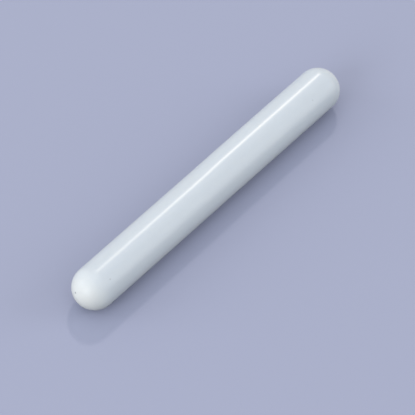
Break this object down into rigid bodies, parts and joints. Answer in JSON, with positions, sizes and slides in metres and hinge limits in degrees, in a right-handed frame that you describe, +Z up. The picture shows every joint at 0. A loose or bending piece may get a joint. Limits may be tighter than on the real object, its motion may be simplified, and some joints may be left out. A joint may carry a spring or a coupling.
{
  "type": "magnetic stir bar",
  "caption": "Smooth round-ended stir bar: a chamfered magnet rod sealed in a one-piece white PTFE jacket, turned by a stirrer's rotating field.",
  "frame": {"origin": "centre of the bar, on its long axis", "axes": "+X along the bar, +Y across it, +Z up when the bar lies on a level surface"},
  "size_m": [0.08, 0.009, 0.009],
  "materials": {
    "ptfe": "moulded and polished PTFE, waxy and softly glossy, slightly bluish over the magnet and whiter at the ends",
    "magnet_alloy": "ground cast permanent-magnet alloy, bare"
  },
  "bodies": {
    "root": {"jacket": "ptfe", "magnet": "magnet_alloy"}
  },
  "joints": []
}
